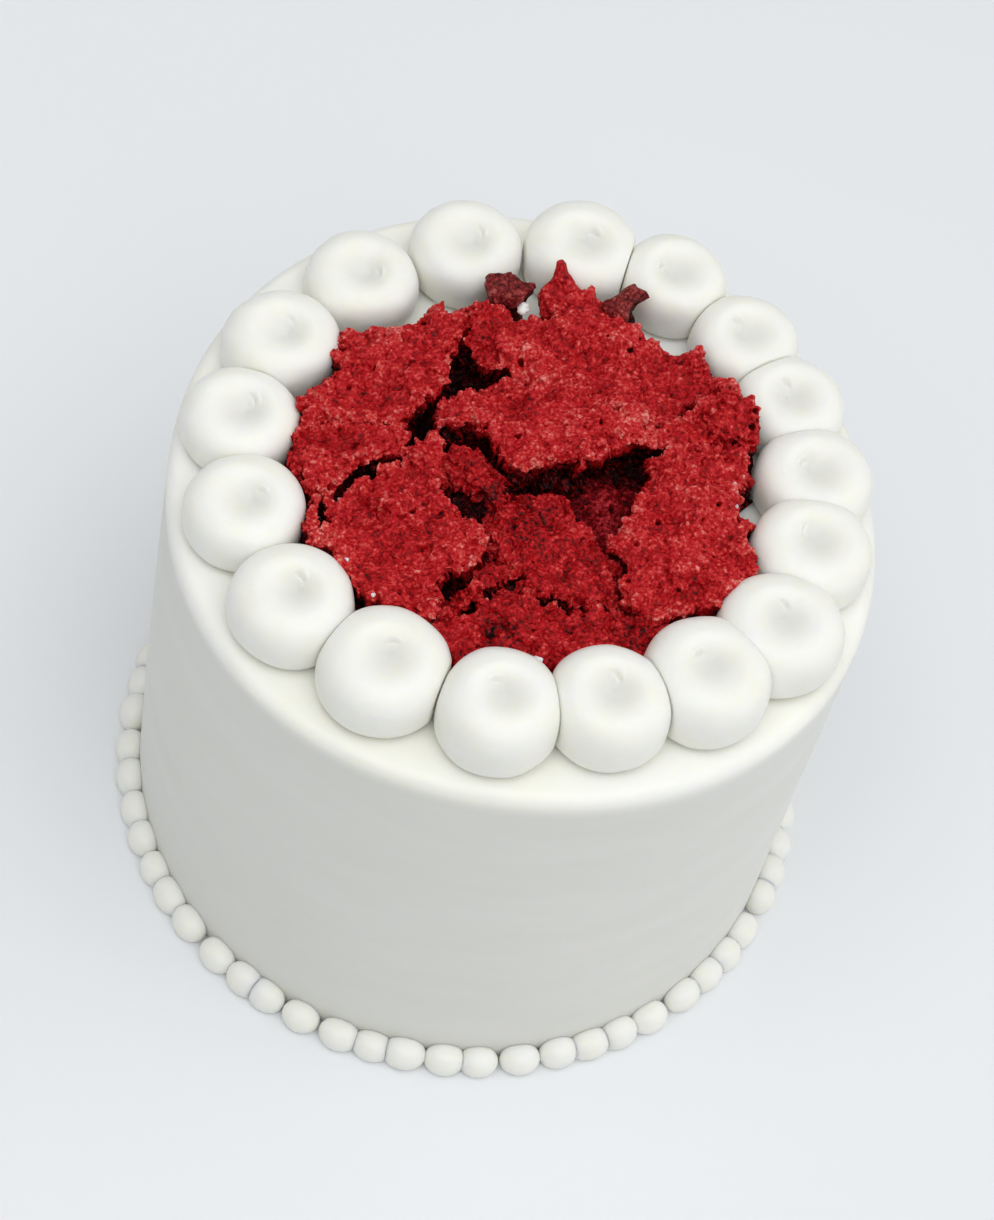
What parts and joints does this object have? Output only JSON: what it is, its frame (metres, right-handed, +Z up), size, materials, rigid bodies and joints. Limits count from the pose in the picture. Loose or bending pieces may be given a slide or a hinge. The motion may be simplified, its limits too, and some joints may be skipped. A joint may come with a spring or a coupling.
{
  "type": "red velvet cake",
  "caption": "Tall round cake in smooth white frosting, with piped dollops round the top edge, torn red sponge heaped inside them and small piped beads round the foot.",
  "frame": {"origin": "middle of the cake's flat underside", "axes": "+Z up through the middle of the cake, -Y towards the front of the picture, +X to its right"},
  "size_m": [0.1722, 0.1724, 0.1391],
  "materials": {
    "side_frosting": "scraped smooth, satin",
    "piped_frosting": "piped, smooth, satin",
    "bead_frosting": "piped, smooth, satin",
    "red_sponge": "torn open crumb, moist",
    "dark_sponge": "outer crust, moist"
  },
  "bodies": {
    "root": {"frosted_cake": "side_frosting", "bead_border": "bead_frosting", "dollop_01": "piped_frosting", "dollop_02": "piped_frosting", "dollop_03": "piped_frosting", "dollop_04": "piped_frosting", "dollop_05": "piped_frosting", "dollop_06": "piped_frosting", "dollop_07": "piped_frosting", "dollop_08": "piped_frosting", "dollop_09": "piped_frosting", "dollop_10": "piped_frosting", "dollop_11": "piped_frosting", "dollop_12": "piped_frosting", "dollop_13": "piped_frosting", "dollop_14": "piped_frosting", "dollop_15": "piped_frosting", "dollop_16": "piped_frosting", "dollop_17": "piped_frosting", "sponge_bed": "red_sponge", "sponge_back_lobe": "red_sponge", "sponge_front_left": "red_sponge", "sponge_right": "red_sponge", "sponge_right_back": "red_sponge", "sponge_back": "red_sponge", "sponge_back_left": "red_sponge", "sponge_left": "red_sponge", "sponge_middle_front": "red_sponge", "sponge_middle": "red_sponge", "sponge_front_ridge": "red_sponge", "sponge_front": "red_sponge", "sponge_sliver": "red_sponge", "crumb_dark": "dark_sponge", "crumb_spike": "red_sponge", "crumb_brown": "dark_sponge"}
  },
  "joints": []
}
